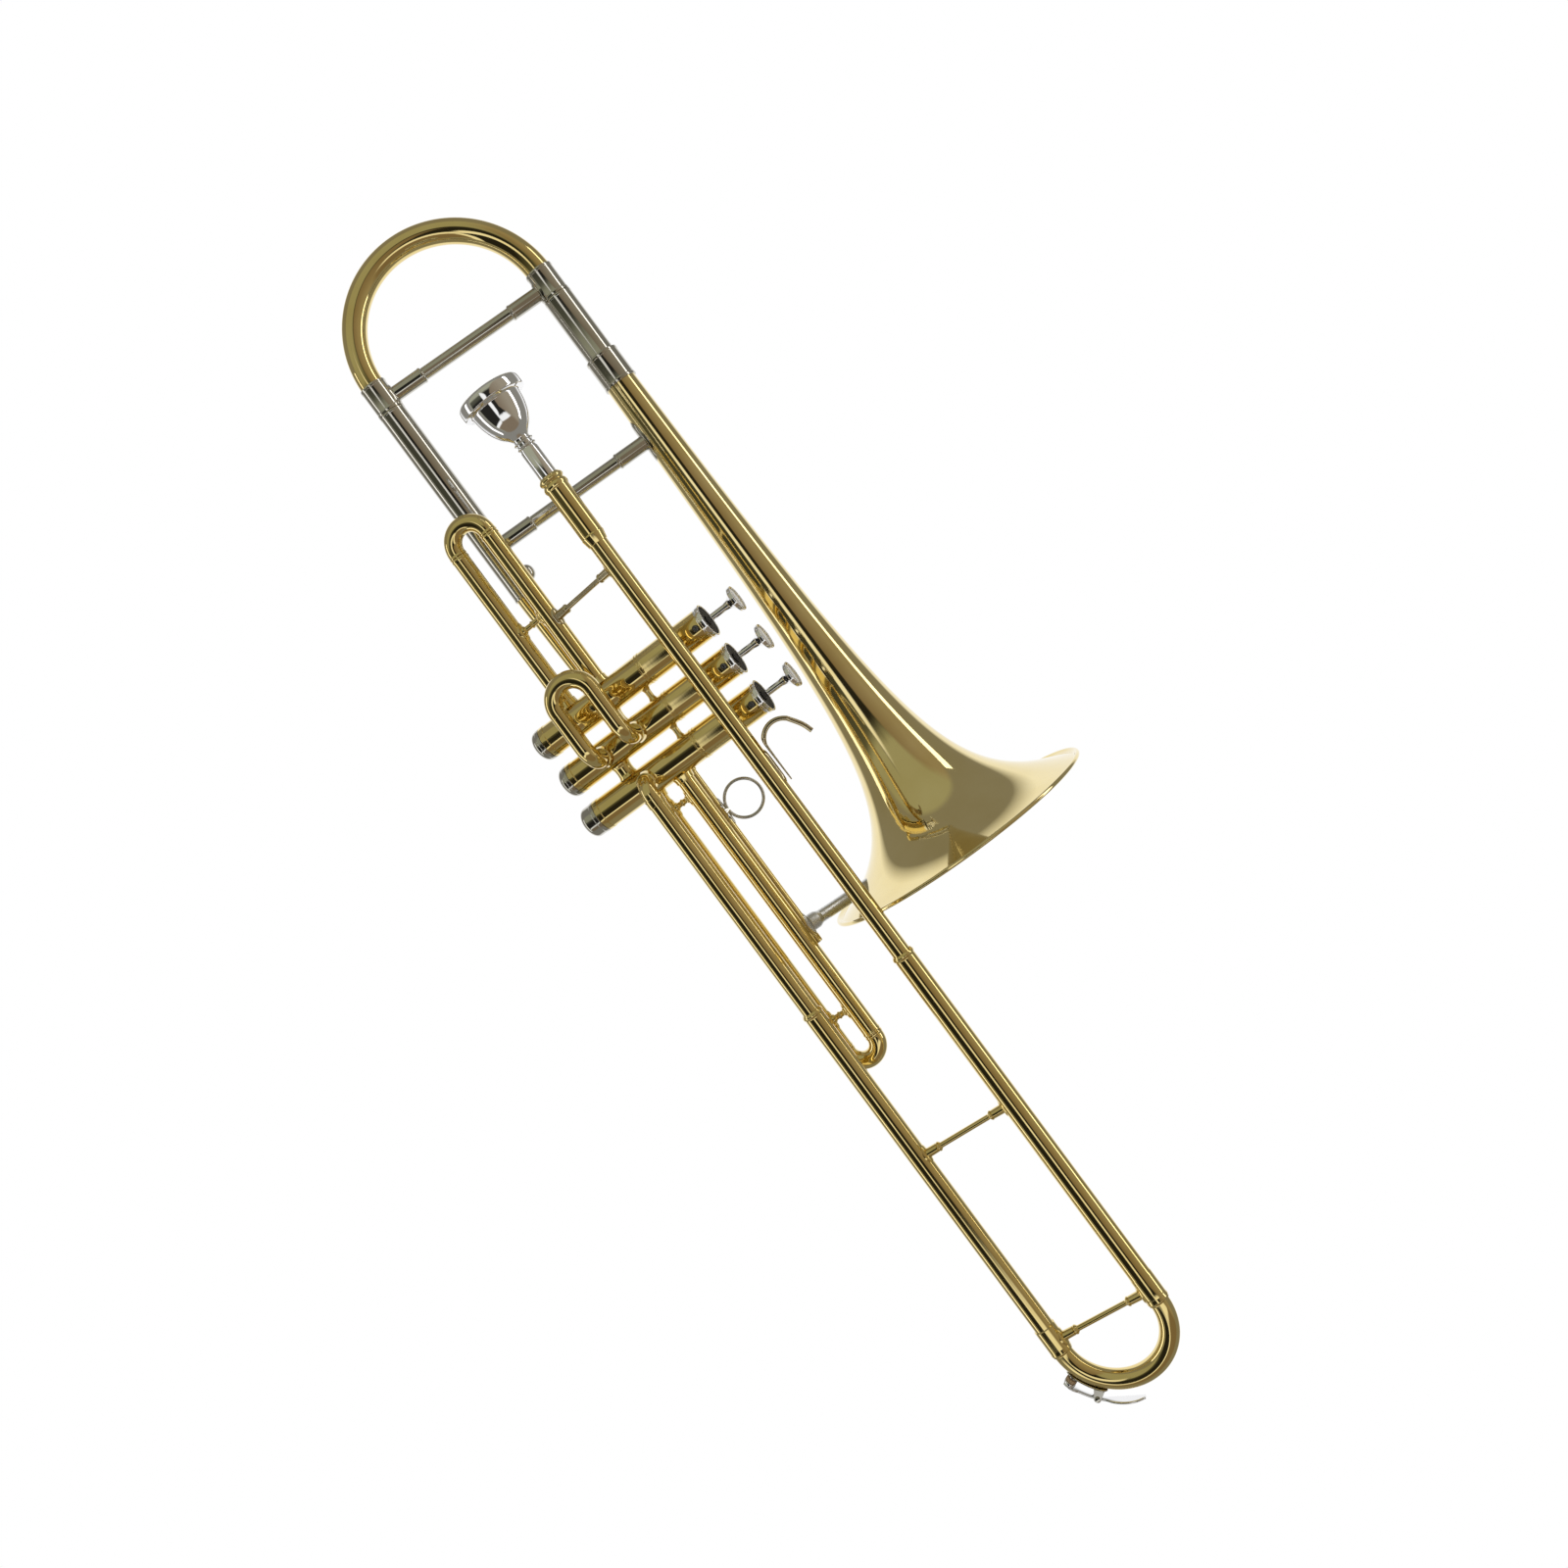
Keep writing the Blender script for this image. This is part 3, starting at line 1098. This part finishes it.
def add_band(shape, stations, thickness):
    """A curved strip along the front bow: stations are (angle, inner radius, half width)."""
    rings = []
    for angle, radius, half in stations:
        ring = []
        for k in range(20):
            turn = 2.0 * math.pi * k / 20
            across = boxy(math.cos(turn), 0.4) * half
            rise = (0.5 + 0.5 * boxy(math.sin(turn), 0.6)) * thickness
            ring.append(shape.verts.new(on_bow(angle, radius + rise, across)))
        rings.append(ring)
    first = [shape.verts.new(on_bow(stations[0][0], stations[0][1] + thickness / 2.0))]
    last = [shape.verts.new(on_bow(stations[-1][0], stations[-1][1] + thickness / 2.0))]
    stitch(shape, [first] + rings + [last])


def show_key_saddle():
    """The plate on the bow with its ears, the hinge pin and the nipple."""
    ear_across = KEY_WIDTH / 2.0 + GAP + KEY_EAR / 2.0
    shape = bmesh.new()
    first = KEY_PIVOT - KEY_OVERHANG
    last = KEY_CORK + KEY_OVERHANG
    count = 16
    stations = []
    for i in range(count + 1):
        t = i / count
        half = (ear_across + KEY_EAR / 2.0) * (1.0 - 0.35 * t)
        half *= min(1.0, 0.5 + 6.0 * t, 0.5 + 5.0 * (1.0 - t))
        stations.append((first + (last - first) * t, SEAT_RADIUS - 0.2, half))
    add_band(shape, stations, KEY_EAR)
    out = bow_out(KEY_PIVOT)
    side = out.cross(BOW_NORMAL)
    pivot_height = PIVOT_RADIUS - SEAT_RADIUS
    outline = [(-KEY_HUB_RADIUS * 1.5, 0.0)]
    for degrees in range(-90, 91, 15):
        turn = math.radians(degrees)
        outline.append((KEY_HUB_RADIUS * math.sin(turn), pivot_height + KEY_HUB_RADIUS * math.cos(turn)))
    outline.append((KEY_HUB_RADIUS * 1.5, 0.0))
    for across in (-ear_across, ear_across):
        add_plate(shape, outline, on_bow(KEY_PIVOT, SEAT_RADIUS + 0.3, across), side, out, KEY_EAR)
    reach = ear_across + KEY_EAR / 2.0 + 1.0
    pin = KEY_PIN_RADIUS
    profile = [(0.0, -reach), (pin + 0.7, -reach), (pin + 0.7, 0.9 - reach), (pin, 1.0 - reach),
               (pin, reach - 0.8), (pin + 0.3, reach - 0.7), (pin + 0.3, reach), (0.0, reach)]
    add_turned(shape, soften(profile, 0.2), on_bow(KEY_PIVOT, PIVOT_RADIUS), BOW_NORMAL, 24)
    hole = KEY_NIPPLE_RADIUS - 0.8
    top = KEY_NIPPLE_HEIGHT
    profile = [(hole, 0.0), (KEY_NIPPLE_RADIUS + 1.2, 0.0), (KEY_NIPPLE_RADIUS, 1.4),
               (KEY_NIPPLE_RADIUS, top), (hole, top)]
    add_turned(shape, soften(profile, 0.2, closed=True), on_bow(KEY_CORK, SEAT_RADIUS), bow_out(KEY_CORK), 32)
    show("key_saddle", shape, NICKEL, "front_slide", ["water_key_saddle"])


def show_key_lever():
    """The lever with its paddle, its hub and the cup that holds the cork."""
    shape = bmesh.new()
    stations = []
    last = KEY_CORK + KEY_OVERHANG / 2.0
    for i in range(41):
        t = i / 40
        paddle = KEY_WIDTH / 2.0 * 1.2 * math.sqrt(max(0.0, 1.0 - (t / 0.24 - 1.0) ** 2))
        end = KEY_WIDTH / 2.0 * math.sqrt(max(0.0, 1.0 - ((t - 0.9) / 0.11) ** 2))
        stations.append((KEY_TIP + (last - KEY_TIP) * t, LEVER_RADIUS, max(paddle, end, KEY_WIDTH * 0.27)))
    add_band(shape, stations, KEY_THICKNESS)
    half = KEY_WIDTH / 2.0
    bore = KEY_PIN_RADIUS + 0.1
    profile = [(bore, -half), (KEY_HUB_RADIUS, -half), (KEY_HUB_RADIUS, half), (bore, half)]
    add_turned(shape, soften(profile, 0.2, closed=True), on_bow(KEY_PIVOT, PIVOT_RADIUS), BOW_NORMAL, 32)
    cup_height = LEVER_RADIUS - CUP_RADIUS + KEY_THICKNESS
    profile = [(0.0, 0.0), (KEY_CORK_RADIUS + 0.4, 0.0), (KEY_CORK_RADIUS + 0.4, 1.6),
               (KEY_CORK_RADIUS * 0.6, cup_height - 0.4), (0.0, cup_height)]
    add_turned(shape, soften(profile, 0.4), on_bow(KEY_CORK, CUP_RADIUS), bow_out(KEY_CORK), 32)
    show("key_lever", shape, SILVER, "water_key", ["water_key_lever"])


def show_key_spring():
    """Two thin coils on the hinge."""
    out = bow_out(KEY_PIVOT)
    forward = out.cross(BOW_NORMAL)
    shape = bmesh.new()
    for side in (-1.0, 1.0):
        coil = []
        for k in range(41):
            turn = 2.0 * math.pi * k / 16
            around = out * math.cos(turn) + forward * math.sin(turn)
            across = side * (KEY_WIDTH / 2.0 - 1.4 + 1.2 * k / 40)
            coil.append(on_bow(KEY_PIVOT, PIVOT_RADIUS, across) + around * (KEY_HUB_RADIUS + 0.2))
        add_swept(shape, coil, [0.3] * len(coil), 8)
    show("key_spring", shape, STEEL, "water_key", [])


def show_key_cork():
    profile = [(0.0, 0.0), (KEY_CORK_RADIUS, 0.0), (KEY_CORK_RADIUS, KEY_CORK_HEIGHT), (0.0, KEY_CORK_HEIGHT)]
    line = (on_bow(KEY_CORK, NIPPLE_TOP + 0.05), bow_out(KEY_CORK))
    show_turned("key_cork", profile, 0.3, line, CORK, "water_key", ["water_key_cork"], False, 32)


def finish_hidden_nodes():
    """The pistons inside the casings keep their solids and get their own finish."""
    for number in (1, 2, 3):
        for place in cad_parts[f"piston_{number}"].material_slots:
            place.material = NICKEL


# Studio

def add_math(tree, operation, first, second):
    node = tree.nodes.new("ShaderNodeMath")
    node.operation = operation
    for socket, value in zip(node.inputs, (first, second)):
        if isinstance(value, float):
            socket.default_value = value
        else:
            tree.links.new(value, socket)
    return node.outputs[0]


def add_mix(tree, factor, first, second):
    """A mix of two colours, each a plain colour or the output of a node."""
    mix = tree.nodes.new("ShaderNodeMix")
    mix.data_type = "RGBA"
    tree.links.new(factor, mix.inputs[0])
    for socket, value in ((mix.inputs[6], first), (mix.inputs[7], second)):
        if isinstance(value, tuple):
            socket.default_value = (*value, 1.0)
        else:
            tree.links.new(value, socket)
    return mix.outputs[2]


def add_stage():
    """A white floor well below the object that fades into the colour of the room's wall."""
    low = CAD_BOX[0][2]
    half = FLOOR_HALF_WIDTH
    mesh = bpy.data.meshes.new("floor")
    mesh.from_pydata([(-half, -half, 0.0), (half, -half, 0.0), (half, half, 0.0), (-half, half, 0.0)], [],
                     [(0, 1, 2, 3)])
    floor = bpy.data.objects.new("floor", mesh)
    floor.location = (HOME.x + FLOOR_CENTRE[0], HOME.y + FLOOR_CENTRE[1], low - FLOOR_DROP)
    floor.rotation_euler = (0.0, 0.0, CAMERA_TURN)
    bpy.context.scene.collection.objects.link(floor)
    paint, tree, shader = new_material("white_floor", Base_Color=(0.9, 0.9, 0.9, 1.0), Roughness=0.9)
    white = tree.nodes.new("ShaderNodeEmission")
    white.inputs["Strength"].default_value = 1.0
    place = tree.nodes.new("ShaderNodeTexCoord")
    split = tree.nodes.new("ShaderNodeSeparateXYZ")
    tree.links.new(place.outputs["Object"], split.inputs["Vector"])
    sizes = [add_math(tree, "ABSOLUTE", split.outputs[axis], 0.0) for axis in "XY"]
    powers = [add_math(tree, "POWER", size, 4.0) for size in sizes]
    reach = add_math(tree, "POWER", add_math(tree, "ADD", *powers), 0.25)
    fade = add_range(tree, reach, 0.0, 1.0, FLOOR_WHITE, FLOOR_HALF_WIDTH)
    tree.links.new(add_mix(tree, fade, (1.0, 1.0, 1.0), WALL), white.inputs["Color"])
    rays = tree.nodes.new("ShaderNodeLightPath")
    seen = add_math(tree, "MAXIMUM", rays.outputs["Is Camera Ray"], rays.outputs["Is Glossy Ray"])
    seen = add_math(tree, "MAXIMUM", seen, rays.outputs["Is Transmission Ray"])
    mix = tree.nodes.new("ShaderNodeMixShader")
    tree.links.new(seen, mix.inputs["Fac"])
    tree.links.new(shader.outputs["BSDF"], mix.inputs[1])
    tree.links.new(white.outputs["Emission"], mix.inputs[2])
    tree.links.new(mix.outputs["Shader"], tree.nodes["Material Output"].inputs["Surface"])
    mesh.materials.append(paint)


# The room's upper part: (degrees from straight up, colour), toward +Y and toward +X; and for the part of the
# -Y side that the valve casings mirror, (how far toward +X, colour). Below it, the room is all WALL.
DARK = (0.02, 0.019, 0.016)
SHADE = (0.10, 0.10, 0.07)
BROWN = (0.22, 0.17, 0.115)
TAUPE = (0.33, 0.285, 0.21)
OLIVE = (0.36, 0.36, 0.265)
WALL = (0.25, 0.24, 0.21)
WHITE = (1.0, 1.0, 0.98)
ROOM_Y = [(-180, OLIVE), (-72, OLIVE), (-26, SHADE), (-22, WHITE), (-11, WHITE), (-8, DARK), (3, DARK),
          (7, BROWN), (50, TAUPE), (180, TAUPE)]
ROOM_X = [(-180, OLIVE), (-22, OLIVE), (-16, DARK), (20, DARK), (23, WHITE), (31, WHITE), (34, BROWN),
          (180, BROWN)]
NEAR_SIDE = [(-1.0, OLIVE), (-0.34, OLIVE), (-0.28, SHADE), (-0.05, DARK), (0.40, DARK), (0.44, WHITE),
             (0.52, WHITE), (0.56, BROWN), (1.0, BROWN)]


def add_room_side(tree, wobble, sideways, upward, stops):
    """The colours met on a turn from straight down, past straight up, to straight down again."""
    turn = add_math(tree, "ARCTAN2", sideways, upward)
    turn = add_math(tree, "MULTIPLY", turn, 0.5 / math.pi)
    turn = add_math(tree, "ADD", turn, wobble)
    return add_ramp(tree, turn, [(degrees / 360.0 + 0.5, colour) for degrees, colour in stops])


def add_world():
    """A studio room that metal can mirror: plain walls, and overhead a dark ceiling with white openings."""
    world = bpy.data.worlds.new("studio")
    bpy.context.scene.world = world
    world.use_nodes = True
    tree = world.node_tree
    backdrop = tree.nodes["Background"]
    place = tree.nodes.new("ShaderNodeTexCoord")
    split = tree.nodes.new("ShaderNodeSeparateXYZ")
    tree.links.new(place.outputs["Generated"], split.inputs["Vector"])
    x, y, z = (split.outputs[axis] for axis in "XYZ")
    noise = tree.nodes.new("ShaderNodeTexNoise")
    noise.inputs["Scale"].default_value = 2.6
    noise.inputs["Detail"].default_value = 3.0
    tree.links.new(place.outputs["Generated"], noise.inputs["Vector"])
    wobble = add_range(tree, noise.outputs["Fac"], 0.496, 0.504)
    long_side = add_room_side(tree, wobble, y, z, ROOM_Y)
    end_side = add_room_side(tree, wobble, x, z, ROOM_X)
    across = add_range(tree, x, 0.0, 1.0, -1.0, 1.0)
    near_side = add_ramp(tree, across, [(reach * 0.5 + 0.5, colour) for reach, colour in NEAR_SIDE])
    low = add_range(tree, y, 1.0, 0.0, -0.42, -0.38)
    high = add_range(tree, z, 0.0, 1.0, 0.30, 0.36)
    long_side = add_mix(tree, add_math(tree, "MULTIPLY", low, high), long_side, near_side)
    reach_x = add_math(tree, "ABSOLUTE", x, 0.0)
    reach_y = add_math(tree, "ABSOLUTE", y, 0.0)
    whole = add_math(tree, "ADD", add_math(tree, "ADD", reach_x, reach_y), 0.001)
    share = add_range(tree, add_math(tree, "DIVIDE", reach_x, whole), 0.0, 1.0, 0.50, 0.60)
    overhead = add_range(tree, z, 0.0, 1.0, 0.24, 0.34)
    ceiling = add_mix(tree, share, long_side, end_side)
    tree.links.new(add_mix(tree, overhead, WALL, ceiling), backdrop.inputs["Color"])
    backdrop.inputs["Strength"].default_value = 1.0


def add_lamp(name, place, size, power, target=(0.0, 0.0, 0.0)):
    data = bpy.data.lights.new(name, "AREA")
    data.shape = "RECTANGLE"
    data.size = size[0]
    data.size_y = size[1]
    data.energy = power
    lamp = bpy.data.objects.new(name, data)
    lamp.location = place
    lamp.rotation_euler = (Vector(place) - Vector(target)).to_track_quat("Z", "Y").to_euler()
    bpy.context.scene.collection.objects.link(lamp)


def add_camera():
    data = bpy.data.cameras.new("camera")
    data.sensor_width = 36.0
    data.lens = CAMERA_LENS
    data.shift_x = CAMERA_SHIFT[0]
    data.shift_y = CAMERA_SHIFT[1]
    data.clip_start = 0.05
    data.clip_end = 60.0
    camera = bpy.data.objects.new("camera", data)
    camera.location = HOME + Vector((0.0, 0.0, CAMERA_HEIGHT))
    camera.rotation_euler = (0.0, 0.0, CAMERA_TURN)
    bpy.context.scene.collection.objects.link(camera)
    bpy.context.scene.camera = camera


def main():
    show_bell()
    show_tuning_sleeves()
    show_tuning_slide()
    show_bell_brace()
    show_gooseneck()
    for index in range(3):
        show_valve(index)
    show_crossings()
    show_straight_slide("first", 0, FIRST_PORTS, FIRST_END_X, [FIRST_BRACE_X], LEGS_INSIDE[0])
    show_second_slide()
    show_straight_slide("third", 2, THIRD_PORTS, THIRD_END_X, THIRD_BRACES_X, LEGS_INSIDE[2])
    show_support()
    show_finger_ring()
    show_bell_stay()
    show_finger_hook()
    show_lead_pipe()
    show_mouthpiece()
    show_return_tube()
    show_front_slide()
    show_key_saddle()
    show_key_lever()
    show_key_spring()
    show_key_cork()
    finish_hidden_nodes()
    add_stage()
    add_world()
    add_lamp("key", (0.0, 1.9, 0.40), (2.6, 0.35), 6.0)
    add_lamp("fill", (0.0, -1.9, 0.0), (2.6, 0.35), 4.0)
    add_camera()
    bpy.context.scene.view_settings.view_transform = "Standard"


main()
